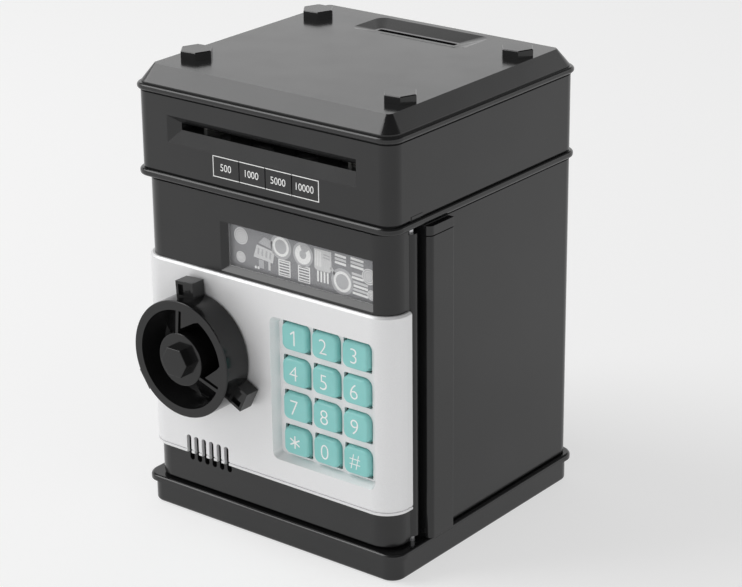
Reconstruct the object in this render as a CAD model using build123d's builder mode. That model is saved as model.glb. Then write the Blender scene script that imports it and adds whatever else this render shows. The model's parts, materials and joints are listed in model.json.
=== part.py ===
"""Toy cash-machine savings bank: a black plastic box with a hinged, keypad-locked front door,
a note slot with a motor feed in its head, and a coin slot in its lid.

Frame: millimetres, +X to the viewer's right, +Y to the back, +Z up.  The origin is on the
surface that the bank stands on, under the middle of the case.  The front faces -Y.
"""
from build123d import *
from math import cos, radians, sin
import os

os.makedirs("parts", exist_ok=True)

# --- Case: half sizes in plan, then heights ------------------------------------------------
WALL_X, WALL_Y, WALL_R = 63.6, 60.7, 6.0  # outside of the upright walls
WALL_T = 2.2
SKIRT_X, SKIRT_Y = 64.2, 61.0  # base, below its bead
BASE_BEAD_X, BASE_BEAD_Y = 66.1, 62.7
SEAM_BEAD_X, SEAM_BEAD_Y = 64.9, 62.2  # bead between body and head
LID_BEAD_X, LID_BEAD_Y = 64.8, 62.0
BEAD_R = 7.0
BEAD_EDGE = 1.2  # rounding of each bead's edge
REVEAL = 0.7  # height of the dark groove beside a bead
REVEAL_DEPTH = 1.0

BASE_FLOOR_LOW, BASE_BEAD_LOW, BASE_TOP = 9.0, 9.8, 12.2
HEAD_LOW, HEAD_BEAD_TOP = 143.3, 146.2
HEAD_FLOOR_TOP = 145.5
HEAD_TOP = 178.6
LID_BEAD_TOP = 181.2
LID_SHOULDER = 181.9  # foot of the lid's bevel
LID_TOP = 188.3
PLATE_X, PLATE_Y, PLATE_R = 58.6, 55.1, 2.0  # flat top of the lid
SCREW_SPOTS = [(-57.2, 54.3), (57.2, 54.3), (-57.2, -41.5), (45.5, -43.5)]
SCREW_D, SCREW_HEAD_D = 2.6, 5.2

# --- Lid bolts and coin slot ---------------------------------------------------------------
BOLT_X, BOLT_Y = 50.5, 38.0
BOLT_FLATS, BOLT_HEAD_H, BOLT_SHANK_R = 12.0, 3.2, 1.95
BOLT_TURN = 7.0  # how far the heads stand turned, in degrees
BOLT_POST_R, BOLT_POST_TOP = 4.5, 177.0
COIN_Y, COIN_LENGTH, COIN_WIDTH = 39.5, 39.0, 2.8
DISH_X, DISH_FRONT, DISH_BACK, DISH_DEPTH = 28.0, 31.0, 52.0, 1.5

# --- Note slot and feed --------------------------------------------------------------------
SLOT_LEFT, SLOT_RIGHT, SLOT_LOW, SLOT_HIGH = -41.4, 44.9, 164.7, 167.6
MOUTH_LEFT, MOUTH_RIGHT, MOUTH_LOW, MOUTH_HIGH = -46.8, 47.1, 159.4, 170.5
SLOT_BLOCK_BACK = -55.9
GUIDE_BACK = -51.3
FEED_Y, DRIVE_Z, PINCH_Z = -42.5, 161.9, 170.4
ROLLER_R, SHAFT_R, RUN = 4.0, 1.5, 0.05  # RUN is the radial running clearance
ROLLER_SPOTS = (-22.0, 0.0, 22.0)
ROLLER_LENGTH = 10.0
SIDE_PLATE_X, SIDE_PLATE_T = 35.2, 1.6
MODULE, TOOTH_TIP, TOOTH_ROOT, BACKLASH = 0.8, 0.6, 0.8, 0.14
DRIVE_TEETH, IDLER_TEETH, PINION_TEETH = 20, 18, 8
GEAR_X, GEAR_T = 37.4, 3.0
MESH_GAP = 0.1  # extra centre distance of each gear pair
IDLER_ANGLE = -10.5  # direction from the drive shaft to the idler, in the side view
MOTOR_ANGLE = IDLER_ANGLE + 180 / IDLER_TEETH

# --- Door ----------------------------------------------------------------------------------
DOOR_X, DOOR_FRONT, DOOR_BACK, DOOR_R = 62.0, -60.2, -48.6, 9.0
DOOR_LOW, DOOR_HIGH = 13.0, 142.5
DOOR_T = 2.0
PANEL_T = 1.65  # silver face plate
PANEL_LOW, PANEL_HIGH = 27.5, 110.2
PANEL_GAP = 0.05
COVER_T = 2.0
HINGE_X, HINGE_Y, BARREL_R, PIN_R = 60.3, -45.5, 3.0, 1.5
NOTCH_X, NOTCH_Y = 56.8, -41.1  # the notch in the case that the hinge barrel turns in
OPENING_Y = -48.0  # front of the case, behind the door
STRIP_BACK, STRIP_OUT = -26.0, 66.6

# --- Display window, keypad, knob, grille ---------------------------------------------------
WINDOW_LEFT, WINDOW_RIGHT, WINDOW_LOW, WINDOW_HIGH = -18.6, 52.7, 113.6, 131.3
RECESS_LEFT, RECESS_RIGHT, RECESS_LOW, RECESS_HIGH = -21.5, 54.0, 111.3, 131.9
TRAY_LEFT, TRAY_RIGHT, TRAY_LOW, TRAY_HIGH = 4.1, 55.5, 38.1, 98.8
TRAY_FLOOR, TRAY_FLOOR_T, TRAY_SLOPE = -58.2, 1.4, 1.8
KEY_PITCH_X, KEY_PITCH_Z, KEY_MIDDLE_Z = 15.0, 14.8, 69.0
KEY_W, KEY_H, KEY_R, KEY_TAPER = 13.2, 11.9, 3.1, 7.0
KEY_EDGE, KEY_FLANGE, KEY_FLANGE_R = 1.3, 0.6, 4.4
KEY_TOP, KEY_FLANGE_FRONT, KEY_FLANGE_BACK = -60.3, -56.7, -55.9
KEY_PLAY = 0.25
KEY_NAMES = ["1", "2", "3", "4", "5", "6", "7", "8", "9", "star", "0", "hash"]
KNOB_X, KNOB_Z = -31.2, 75.9
KNOB_R, KNOB_FRONT, KNOB_BACK = 24.5, -75.4, -62.8
KNOB_TURN = 3.5  # how far the wheel stands turned from upright, in degrees
RING_R, HUB_R, GROOVE_DEPTH, GROOVE_DRAFT = 20.7, 11.1, 10.0, 18.0
ARM_MIDDLE = KNOB_TURN + 30  # direction halfway between the two arms, in degrees
RAMP_AT, RAMP_OUT, RAMP_SKEW, RAMP_LENGTH = 16.0, 0.8, 7.0, 13.5
LUG_HALF, LUG_OUT, LUG_FRONT, LUG_BACK = 4.5, 30.7, -69.7, -63.0
LUG_WALL, LUG_POCKET = 1.2, 1.4
CAM_R, CAM_FRONT, CAM_BACK = 9.0, -57.2, -53.6
NOTCH_W, NOTCH_DEPTH, PLUNGER_R = 3.8, 3.4, 1.5
TONGUE_FRONT, TONGUE_BACK, TONGUE_REACH = -45.4, -43.2, 28.3
GRILLE_FIRST_X, GRILLE_PITCH, GRILLE_COUNT = -40.9, 4.02, 6
GRILLE_W, GRILLE_LOW, GRILLE_HIGH = 2.4, 23.8, 35.7
SPEAKER_X, SPEAKER_Z, SPEAKER_R = -32.0, 29.7, 14.0

# --- Battery box on the inside of the door ---------------------------------------------------
CELL_R, CELL_L, CELL_PITCH = 7.1, 49.5, 15.2
CELL_X, CELL_Z = 20.5, 51.2  # middle of the three cells
CELL_Y = -39.7
BOX_IN_X, BOX_IN_Z, BOX_T = 28.0, 23.0, 1.5  # half sizes inside, wall
BOX_BACK = -32.0
SPRING_TURNS = 2.5

PANEL_FRONT = DOOR_FRONT - PANEL_GAP - PANEL_T
PANEL_X = DOOR_X + PANEL_GAP + PANEL_T
PANEL_R = DOOR_R + PANEL_GAP + PANEL_T
INNER_X, INNER_Y = WALL_X - WALL_T, WALL_Y - WALL_T
DOOR_INNER_FRONT = DOOR_FRONT + 2.2
COVER_FRONT = DOOR_BACK - COVER_T


def facing_front(y):
    """Sketch plane at depth y whose x is +X, y is +Z and normal is -Y."""
    return Plane(origin=(0, y, 0), x_dir=(1, 0, 0), z_dir=(0, -1, 0))


def facing_side(x):
    """Sketch plane at x whose x is +Y, y is +Z and normal is +X."""
    return Plane(origin=(x, 0, 0), x_dir=(0, 1, 0), z_dir=(1, 0, 0))


def span(low, high):
    """Middle and length of a stretch."""
    return (low + high) / 2, high - low


# =============================================================================================
# Case: base, body, head and lid
# =============================================================================================
with BuildPart() as base_tray:
    with BuildSketch(Plane.XY):
        RectangleRounded(2 * SKIRT_X, 2 * SKIRT_Y, WALL_R)
    extrude(amount=BASE_BEAD_LOW)
    fillet(base_tray.edges().group_by(Axis.Z)[0], 1.2)
    with BuildSketch(Plane.XY.offset(BASE_BEAD_LOW)):
        RectangleRounded(2 * BASE_BEAD_X, 2 * BASE_BEAD_Y, BEAD_R)
    extrude(amount=BASE_TOP - BASE_BEAD_LOW)
    fillet(base_tray.edges().group_by(Axis.Z)[-1], BEAD_EDGE)
    with BuildSketch(Plane.XY):
        RectangleRounded(2 * (SKIRT_X - 2.6), 2 * (SKIRT_Y - 2.6), WALL_R - 2.6)
    extrude(amount=BASE_FLOOR_LOW, mode=Mode.SUBTRACT)
    # Stiffening ribs and the screw bosses under the floor
    with BuildSketch(Plane.XY.offset(2.0)):
        for x in (-30, 0, 30):
            with Locations((x, 0)):
                Rectangle(1.6, 2 * SKIRT_Y - 4)
        for y in (-22, 22):
            with Locations((0, y)):
                Rectangle(2 * SKIRT_X - 4, 1.6)
    extrude(amount=BASE_FLOOR_LOW - 2.0)
    with BuildSketch(Plane.XY.offset(0.6)):
        with Locations(*SCREW_SPOTS):
            Circle(4.6)
    extrude(amount=BASE_FLOOR_LOW - 0.6)
    # Middle pad, level with the rim, that the base also rests on
    with BuildSketch(Plane.XY):
        RectangleRounded(36, 26, 2)
    extrude(amount=BASE_FLOOR_LOW)
    with BuildSketch(Plane.XY):
        with Locations(*SCREW_SPOTS):
            Circle(SCREW_D / 2 + 0.2)
    extrude(amount=BASE_TOP, mode=Mode.SUBTRACT)
    with BuildSketch(Plane.XY):
        with Locations(*SCREW_SPOTS):
            Circle(SCREW_HEAD_D / 2 + 0.3)
    extrude(amount=7.2, mode=Mode.SUBTRACT)
    # Socket for the lower hinge pin
    with BuildSketch(Plane.XY.offset(BASE_TOP - 6)):
        with Locations((HINGE_X, HINGE_Y)):
            Circle(PIN_R + 2)
    extrude(amount=5)
    with BuildSketch(Plane.XY.offset(BASE_TOP - 5)):
        with Locations((HINGE_X, HINGE_Y)):
            Circle(PIN_R)
    extrude(amount=5, mode=Mode.SUBTRACT)
base_tray.part.label = "base_tray"
export_step(base_tray.part, "parts/base_tray.step")

with BuildPart() as base_screws:
    with BuildSketch(Plane.XY.offset(4.8)):
        with Locations(*SCREW_SPOTS):
            Circle(SCREW_HEAD_D / 2)
    extrude(amount=2.4)
    with BuildSketch(Plane.XY.offset(7.2)):
        with Locations(*SCREW_SPOTS):
            Circle(SCREW_D / 2)
    extrude(amount=13.2)
    with BuildSketch(Plane.XY.offset(4.8)):
        with Locations(*SCREW_SPOTS):
            Rectangle(3.4, 0.8)
            Rectangle(0.8, 3.4)
    extrude(amount=1.2, mode=Mode.SUBTRACT)
base_screws.part.label = "base_screws"
export_step(base_screws.part, "parts/base_screws.step")

with BuildPart() as body_shell:
    # Three walls of one rounded tube, with a shallow reveal at the foot and the top
    with BuildSketch(Plane.XY.offset(BASE_TOP)):
        RectangleRounded(2 * (WALL_X - REVEAL_DEPTH), 2 * (WALL_Y - REVEAL_DEPTH), WALL_R - REVEAL_DEPTH)
    extrude(amount=HEAD_LOW - BASE_TOP)
    with BuildSketch(Plane.XY.offset(BASE_TOP + REVEAL)):
        RectangleRounded(2 * WALL_X, 2 * WALL_Y, WALL_R)
    extrude(amount=HEAD_LOW - BASE_TOP - 2 * REVEAL)
    with BuildSketch(Plane.XY.offset(BASE_TOP)):
        RectangleRounded(2 * INNER_X, 2 * INNER_Y, WALL_R - WALL_T)
    extrude(amount=HEAD_LOW - BASE_TOP, mode=Mode.SUBTRACT)
    with BuildSketch(Plane.XY):
        middle, length = span(-WALL_Y - 5, OPENING_Y)
        with Locations((0, middle)):
            Rectangle(2 * WALL_X + 10, length)
    extrude(amount=HEAD_LOW, mode=Mode.SUBTRACT)
    # Front frame round the door opening: left rim, sill and header
    rim_back = OPENING_Y + 1.6
    frame_left, frame_right = -WALL_X + REVEAL_DEPTH, NOTCH_X
    with BuildSketch(facing_front(rim_back)):
        middle_x, width = span(frame_left, frame_right)
        middle_z, height = span(BASE_TOP, HEAD_LOW)
        with Locations((middle_x, middle_z)):
            Rectangle(width, height)
        middle_x, width = span(-57.5, NOTCH_X - 2.0)
        middle_z, height = span(18.0, 136.5)
        with Locations((middle_x, middle_z)):
            RectangleRounded(width, height, 2.0, mode=Mode.SUBTRACT)
    extrude(amount=1.6)
    # Notch that the hinge barrel turns in
    with BuildSketch(Plane.XY.offset(BASE_TOP)):
        middle_x, width = span(NOTCH_X - 2.0, WALL_X - REVEAL_DEPTH)
        middle_y, depth = span(OPENING_Y, NOTCH_Y + 2.0)
        with Locations((middle_x, middle_y)):
            Rectangle(width, depth)
        middle_x, width = span(NOTCH_X, WALL_X + 5)
        middle_y, depth = span(OPENING_Y - 5, NOTCH_Y)
        with Locations((middle_x, middle_y)):
            Rectangle(width, depth, mode=Mode.SUBTRACT)
    extrude(amount=HEAD_LOW - BASE_TOP)
    with BuildSketch(Plane.XY):
        with Locations((middle_x, middle_y)):
            Rectangle(width, depth)
    extrude(amount=HEAD_LOW, mode=Mode.SUBTRACT)
    # Screw posts in the corners, at the foot and under the head
    for post_low in (BASE_TOP, HEAD_LOW - 9.5):
        with BuildSketch(Plane.XY.offset(post_low)):
            with Locations(*SCREW_SPOTS):
                Circle(4.5)
                Circle(SCREW_D / 2, mode=Mode.SUBTRACT)
        extrude(amount=9.5)
    for post_low in (BASE_TOP, HEAD_LOW - 9.5):
        with BuildSketch(Plane.XY.offset(post_low)):
            with Locations(*SCREW_SPOTS):
                Circle(SCREW_D / 2)
        extrude(amount=9.5, mode=Mode.SUBTRACT)
    # Holes for the hinge cover's pegs
    with BuildSketch(facing_side(INNER_X - 1)):
        with Locations(*[((NOTCH_Y + STRIP_BACK) / 2, z) for z in (30, 77, 124, 140.5)]):
            Circle(1.5)
    extrude(amount=WALL_T + 2, mode=Mode.SUBTRACT)
body_shell.part.label = "body_shell"
export_step(body_shell.part, "parts/body_shell.step")

for name, low, high, peg_heights in (
    ("hinge_cover", BASE_TOP + 0.2, 138.3, (30, 77, 124)),
    ("hinge_cap", 138.7, 142.4, (140.5,)),
):
    with BuildPart() as strip:
        with BuildSketch(Plane.XY.offset(low)):
            middle_x, width = span(WALL_X, STRIP_OUT)
            middle_y, depth = span(NOTCH_Y, STRIP_BACK)
            with Locations((middle_x, middle_y)):
                Rectangle(width, depth)
        extrude(amount=high - low)
        uprights = strip.edges().filter_by(Axis.Z).group_by(Axis.X)[-1].sort_by(Axis.Y)
        fillet(uprights[0], 2.4)
        fillet(strip.edges().filter_by(Axis.Z).group_by(Axis.X)[-1].sort_by(Axis.Y)[-1], 0.5)
        with BuildSketch(facing_side(INNER_X)):
            with Locations(*[((NOTCH_Y + STRIP_BACK) / 2, z) for z in peg_heights]):
                Circle(1.5)
        extrude(amount=WALL_T + 0.5)
    strip.part.label = name
    export_step(strip.part, f"parts/{name}.step")

with BuildPart() as hinge_pins:
    for low, length in ((BASE_TOP - 5, 17), (HEAD_LOW - 12, 15)):
        with BuildSketch(Plane.XY.offset(low)):
            with Locations((HINGE_X, HINGE_Y)):
                Circle(PIN_R)
        extrude(amount=length)
hinge_pins.part.label = "hinge_pins"
export_step(hinge_pins.part, "parts/hinge_pins.step")

with BuildPart() as latch_keeper:
    with BuildSketch(facing_front(OPENING_Y + 2.2)):
        middle_x, width = span(-INNER_X, -56.4)
        with Locations((middle_x, KNOB_Z)):
            Rectangle(width, 18)
    extrude(amount=0.6)
latch_keeper.part.label = "latch_keeper"
export_step(latch_keeper.part, "parts/latch_keeper.step")

with BuildPart() as head_housing:
    with BuildSketch(Plane.XY.offset(HEAD_LOW)):
        RectangleRounded(2 * SEAM_BEAD_X, 2 * SEAM_BEAD_Y, BEAD_R)
    extrude(amount=HEAD_BEAD_TOP - HEAD_LOW)
    fillet(head_housing.edges().group_by(Axis.Z)[-1], BEAD_EDGE)
    fillet(head_housing.edges().group_by(Axis.Z)[0], BEAD_EDGE)
    with BuildSketch(Plane.XY.offset(HEAD_BEAD_TOP)):
        RectangleRounded(2 * (WALL_X - REVEAL_DEPTH), 2 * (WALL_Y - REVEAL_DEPTH), WALL_R - REVEAL_DEPTH)
    extrude(amount=REVEAL)
    with BuildSketch(Plane.XY.offset(HEAD_BEAD_TOP + REVEAL)):
        RectangleRounded(2 * WALL_X, 2 * WALL_Y, WALL_R)
    extrude(amount=HEAD_TOP - HEAD_BEAD_TOP - 2 * REVEAL)
    with BuildSketch(Plane.XY.offset(HEAD_TOP - REVEAL)):
        RectangleRounded(2 * (WALL_X - REVEAL_DEPTH), 2 * (WALL_Y - REVEAL_DEPTH), WALL_R - REVEAL_DEPTH)
    extrude(amount=REVEAL)
    with BuildSketch(Plane.XY.offset(HEAD_FLOOR_TOP)):
        RectangleRounded(2 * INNER_X, 2 * INNER_Y, WALL_R - WALL_T)
    extrude(amount=HEAD_TOP - HEAD_FLOOR_TOP, mode=Mode.SUBTRACT)
    # Notes and coins drop into the body through this hole
    with BuildSketch(Plane.XY.offset(HEAD_LOW)):
        middle_y, depth = span(-31.0, 50.0)
        with Locations((0, middle_y)):
            RectangleRounded(70, depth, 3)
    extrude(amount=HEAD_FLOOR_TOP - HEAD_LOW, mode=Mode.SUBTRACT)
    # Thickened wall with the bevelled mouth of the note slot
    with BuildSketch(facing_front(SLOT_BLOCK_BACK)):
        middle_x, width = span(MOUTH_LEFT - 2, MOUTH_RIGHT + 2)
        middle_z, height = span(MOUTH_LOW - 2, MOUTH_HIGH + 2)
        with Locations((middle_x, middle_z)):
            Rectangle(width, height)
    extrude(amount=WALL_Y + SLOT_BLOCK_BACK - 0.5)
    slot_x, slot_width = span(SLOT_LEFT, SLOT_RIGHT)
    slot_z, slot_height = span(SLOT_LOW, SLOT_HIGH)
    with BuildSketch(facing_front(-WALL_Y + 2.6)):
        with Locations((slot_x, slot_z)):
            Rectangle(slot_width, slot_height)
    with BuildSketch(facing_front(-WALL_Y)):
        middle_x, width = span(MOUTH_LEFT, MOUTH_RIGHT)
        middle_z, height = span(MOUTH_LOW, MOUTH_HIGH)
        with Locations((middle_x, middle_z)):
            Rectangle(width, height)
    loft(mode=Mode.SUBTRACT)
    with BuildSketch(facing_front(SLOT_BLOCK_BACK)):
        with Locations((slot_x, slot_z)):
            Rectangle(slot_width, slot_height)
    extrude(amount=4.0, mode=Mode.SUBTRACT)
    # Posts for the lid bolts
    with BuildSketch(Plane.XY.offset(HEAD_LOW)):
        with GridLocations(2 * BOLT_X, 2 * BOLT_Y, 2, 2):
            Circle(BOLT_POST_R)
    extrude(amount=BOLT_POST_TOP - HEAD_LOW)
    with BuildSketch(Plane.XY.offset(160.0)):
        with GridLocations(2 * BOLT_X, 2 * BOLT_Y, 2, 2):
            Circle(BOLT_SHANK_R)
    extrude(amount=20.0, mode=Mode.SUBTRACT)
    # Holes for the screws down into the body, and the socket of the upper hinge pin
    with BuildSketch(Plane.XY.offset(HEAD_LOW)):
        with Locations(*SCREW_SPOTS):
            Circle(SCREW_D / 2 + 0.2)
    extrude(amount=3, mode=Mode.SUBTRACT)
    with BuildSketch(Plane.XY.offset(HEAD_FLOOR_TOP - 0.5)):
        with Locations((HINGE_X, HINGE_Y)):
            Rectangle(7, 7)
    extrude(amount=3.0)
    with BuildSketch(Plane.XY.offset(HEAD_LOW)):
        with Locations((HINGE_X, HINGE_Y)):
            Circle(PIN_R)
    extrude(amount=3.0, mode=Mode.SUBTRACT)
    # Shallow step that cuts the socket block back to the wall's outside
    with BuildSketch(Plane.XY.offset(HEAD_BEAD_TOP)):
        Rectangle(2 * WALL_X + 20, 2 * WALL_Y + 20)
        RectangleRounded(2 * WALL_X - 1.2, 2 * WALL_Y - 1.2, WALL_R - 0.6, mode=Mode.SUBTRACT)
    extrude(amount=0.7, mode=Mode.SUBTRACT)
head_housing.part.label = "head_housing"
export_step(head_housing.part, "parts/head_housing.step")

with BuildPart() as head_screws:
    with BuildSketch(Plane.XY.offset(HEAD_FLOOR_TOP)):
        with Locations(*SCREW_SPOTS):
            Circle(SCREW_HEAD_D / 2)
    extrude(amount=2.0)
    with BuildSketch(Plane.XY.offset(HEAD_FLOOR_TOP - 10)):
        with Locations(*SCREW_SPOTS):
            Circle(SCREW_D / 2)
    extrude(amount=10)
    with BuildSketch(Plane.XY.offset(HEAD_FLOOR_TOP + 1)):
        with Locations(*SCREW_SPOTS):
            Rectangle(3.4, 0.8)
            Rectangle(0.8, 3.4)
    extrude(amount=1, mode=Mode.SUBTRACT)
head_screws.part.label = "head_screws"
export_step(head_screws.part, "parts/head_screws.step")

with BuildPart() as lid_cover:
    with BuildSketch(Plane.XY.offset(HEAD_TOP)):
        RectangleRounded(2 * LID_BEAD_X, 2 * LID_BEAD_Y, BEAD_R)
    extrude(amount=LID_BEAD_TOP - HEAD_TOP)
    fillet(lid_cover.edges().group_by(Axis.Z)[-1], BEAD_EDGE)
    fillet(lid_cover.edges().group_by(Axis.Z)[0], BEAD_EDGE)
    with BuildSketch(Plane.XY.offset(LID_BEAD_TOP)):
        RectangleRounded(2 * WALL_X - 0.8, 2 * WALL_Y - 0.6, WALL_R)
    extrude(amount=LID_SHOULDER - LID_BEAD_TOP)
    with BuildSketch(Plane.XY.offset(LID_SHOULDER)):
        RectangleRounded(2 * WALL_X - 0.8, 2 * WALL_Y - 0.6, WALL_R)
    with BuildSketch(Plane.XY.offset(LID_TOP)):
        RectangleRounded(2 * PLATE_X, 2 * PLATE_Y, PLATE_R)
    loft()
    # Hollow inside
    with BuildSketch(Plane.XY.offset(HEAD_TOP)):
        RectangleRounded(2 * INNER_X - 1.6, 2 * INNER_Y - 1.6, WALL_R - WALL_T)
    extrude(amount=LID_SHOULDER - HEAD_TOP, mode=Mode.SUBTRACT)
    with BuildSketch(Plane.XY.offset(LID_SHOULDER)):
        RectangleRounded(2 * INNER_X - 1.6, 2 * INNER_Y - 1.6, WALL_R - WALL_T)
    with BuildSketch(Plane.XY.offset(LID_TOP - WALL_T)):
        RectangleRounded(2 * PLATE_X - 3, 2 * PLATE_Y - 3, PLATE_R)
    loft(mode=Mode.SUBTRACT)
    # Locating lip inside the head's walls
    with BuildSketch(Plane.XY.offset(HEAD_TOP - 2)):
        RectangleRounded(2 * INNER_X - 0.2, 2 * INNER_Y - 0.2, WALL_R - WALL_T)
        RectangleRounded(2 * INNER_X - 3.4, 2 * INNER_Y - 3.4, WALL_R - WALL_T - 1, mode=Mode.SUBTRACT)
    extrude(amount=4)
    # Thicker pad under the coin dish, and the bolt bosses
    with BuildSketch(Plane.XY.offset(LID_TOP - 4.2)):
        middle_y, depth = span(DISH_FRONT - 1, DISH_BACK + 1)
        with Locations((0, middle_y)):
            Rectangle(2 * DISH_X + 2, depth)
    extrude(amount=3)
    with BuildSketch(Plane.XY.offset(BOLT_POST_TOP)):
        with GridLocations(2 * BOLT_X, 2 * BOLT_Y, 2, 2):
            Circle(BOLT_POST_R)
    extrude(amount=LID_TOP - BOLT_POST_TOP - 1)
    with BuildSketch(Plane.XY.offset(BOLT_POST_TOP)):
        with GridLocations(2 * BOLT_X, 2 * BOLT_Y, 2, 2):
            Circle(BOLT_SHANK_R + 0.15)
    extrude(amount=20, mode=Mode.SUBTRACT)
    # Dished surround and the coin slot itself
    with BuildSketch(Plane.XY.offset(LID_TOP - DISH_DEPTH)):
        with Locations((0, COIN_Y)):
            RectangleRounded(COIN_LENGTH + 3, COIN_WIDTH + 3, 2.5)
    with BuildSketch(Plane.XY.offset(LID_TOP)):
        middle_y, depth = span(DISH_FRONT, DISH_BACK)
        with Locations((0, middle_y)):
            RectangleRounded(2 * DISH_X, depth, 4)
    loft(mode=Mode.SUBTRACT)
    with BuildSketch(Plane.XY.offset(LID_TOP - 8)):
        with Locations((0, COIN_Y)):
            RectangleRounded(COIN_LENGTH, COIN_WIDTH, 0.6)
    extrude(amount=9, mode=Mode.SUBTRACT)
lid_cover.part.label = "lid_cover"
export_step(lid_cover.part, "parts/lid_cover.step")

with BuildPart() as lid_bolts:
    with BuildSketch(Plane.XY.offset(LID_TOP)):
        with GridLocations(2 * BOLT_X, 2 * BOLT_Y, 2, 2):
            RegularPolygon(BOLT_FLATS / 2, 6, major_radius=False, rotation=BOLT_TURN)
    extrude(amount=BOLT_HEAD_H)
    chamfer(lid_bolts.edges().group_by(Axis.Z)[-1], 0.35)
    with BuildSketch(Plane.XY.offset(LID_TOP - 20)):
        with GridLocations(2 * BOLT_X, 2 * BOLT_Y, 2, 2):
            Circle(BOLT_SHANK_R)
    extrude(amount=20)
lid_bolts.part.label = "lid_bolts"
export_step(lid_bolts.part, "parts/lid_bolts.step")

with BuildPart() as coin_chute:
    chute_x, chute_y = COIN_LENGTH / 2 + 1, 4.5
    with BuildSketch(Plane.XY.offset(168)):
        with Locations((0, COIN_Y)):
            Rectangle(2 * chute_x + 2.4, 2 * chute_y + 2.4)
            Rectangle(2 * chute_x, 2 * chute_y, mode=Mode.SUBTRACT)
    extrude(amount=LID_TOP - 4.2 - 168)
    with BuildSketch(Plane.XY.offset(LID_TOP - 5.4)):
        with Locations((0, COIN_Y)):
            Rectangle(2 * chute_x + 8, 2 * chute_y + 6)
            Rectangle(2 * chute_x, 2 * chute_y, mode=Mode.SUBTRACT)
    extrude(amount=1.2)
coin_chute.part.label = "coin_chute"
export_step(coin_chute.part, "parts/coin_chute.step")

# =============================================================================================
# Note feed inside the head
# =============================================================================================
with BuildPart() as note_guide:
    duct_x, duct_width = span(SLOT_LEFT, SLOT_RIGHT)
    duct_z, duct_height = span(SLOT_LOW - 0.2, SLOT_HIGH + 0.2)
    with BuildSketch(facing_front(GUIDE_BACK)):
        with Locations((duct_x, duct_z)):
            Rectangle(duct_width + 3, duct_height + 2.4)
            Rectangle(duct_width + 0.4, duct_height, mode=Mode.SUBTRACT)
    extrude(amount=GUIDE_BACK - SLOT_BLOCK_BACK)
note_guide.part.label = "note_guide"
export_step(note_guide.part, "parts/note_guide.step")

with BuildPart() as note_sensor:
    for low, high in ((SLOT_LOW - 6.4, SLOT_LOW - 1.4), (SLOT_HIGH + 1.4, SLOT_HIGH + 6.4)):
        with BuildSketch(Plane.XY.offset(low)):
            with Locations((-38, -53.6)):
                Rectangle(4.6, 3.6)
        extrude(amount=high - low)
note_sensor.part.label = "note_sensor"
export_step(note_sensor.part, "parts/note_sensor.step")

gear_pitch_drive = MODULE * DRIVE_TEETH / 2
gear_pitch_idler = MODULE * IDLER_TEETH / 2
gear_pitch_pinion = MODULE * PINION_TEETH / 2
idler_reach = gear_pitch_drive + gear_pitch_idler + MESH_GAP
motor_reach = gear_pitch_idler + gear_pitch_pinion + MESH_GAP
IDLER_Y = FEED_Y + idler_reach * cos(radians(IDLER_ANGLE))
IDLER_Z = DRIVE_Z + idler_reach * sin(radians(IDLER_ANGLE))
MOTOR_Y = IDLER_Y + motor_reach * cos(radians(MOTOR_ANGLE))
MOTOR_Z = IDLER_Z + motor_reach * sin(radians(MOTOR_ANGLE))
MOTOR_FRONT_X, MOTOR_LENGTH, MOTOR_R, MOTOR_FLAT = 42.4, 18.4, 7.75, 6.0

with BuildPart() as roller_frame:
    # Two side plates on a cross plate, and a third plate that carries the motor
    with BuildSketch(Plane.XY.offset(HEAD_FLOOR_TOP)):
        middle_y, depth = span(-50.4, -32.4)
        with Locations((0, middle_y)):
            Rectangle(2 * SIDE_PLATE_X + 2 * SIDE_PLATE_T, depth)
    extrude(amount=1.6)
    for x in (-SIDE_PLATE_X - SIDE_PLATE_T, SIDE_PLATE_X):
        with BuildSketch(facing_side(x)):
            middle_y, depth = span(-50.4, -32.4)
            middle_z, height = span(HEAD_FLOOR_TOP, 174.0)
            with Locations((middle_y, middle_z)):
                Rectangle(depth, height)
            with Locations((FEED_Y, DRIVE_Z), (FEED_Y, PINCH_Z)):
                Circle(SHAFT_R + RUN, mode=Mode.SUBTRACT)
        extrude(amount=SIDE_PLATE_T)
    with BuildSketch(facing_side(GEAR_X + GEAR_T + 0.5)):
        middle_y, depth = span(-33.6, MOTOR_Y + 9)
        middle_z, height = span(HEAD_FLOOR_TOP, MOTOR_Z + 9)
        with Locations((middle_y, middle_z)):
            Rectangle(depth, height)
        with Locations((MOTOR_Y, MOTOR_Z)):
            Circle(gear_pitch_pinion + 1.2, mode=Mode.SUBTRACT)
    extrude(amount=MOTOR_FRONT_X - GEAR_X - GEAR_T - 0.5)
    with BuildSketch(Plane.XY.offset(HEAD_FLOOR_TOP)):
        middle_x, width = span(SIDE_PLATE_X, MOTOR_FRONT_X)
        with Locations((middle_x, -32.9)):
            Rectangle(width, 1.4)
    extrude(amount=3.0)
    # Stud that the idler gear turns on
    with BuildSketch(facing_side(GEAR_X - 2.2)):
        with Locations((IDLER_Y, IDLER_Z)):
            Circle(SHAFT_R)
    extrude(amount=6.5)
    with BuildSketch(facing_side(SIDE_PLATE_X)):
        with Locations((IDLER_Y + 0.6, IDLER_Z)):
            Rectangle(5.0, 6.0)
    extrude(amount=SIDE_PLATE_T)
roller_frame.part.label = "roller_frame"
export_step(roller_frame.part, "parts/roller_frame.step")

for name, z, right_end in (("drive_shaft", DRIVE_Z, 41.0), ("pinch_shaft", PINCH_Z, 37.2)):
    with BuildPart() as shaft:
        with BuildSketch(facing_side(-38.4)):
            with Locations((FEED_Y, z)):
                Circle(SHAFT_R)
        extrude(amount=right_end + 38.4)
    shaft.part.label = name
    export_step(shaft.part, f"parts/{name}.step")

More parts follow.
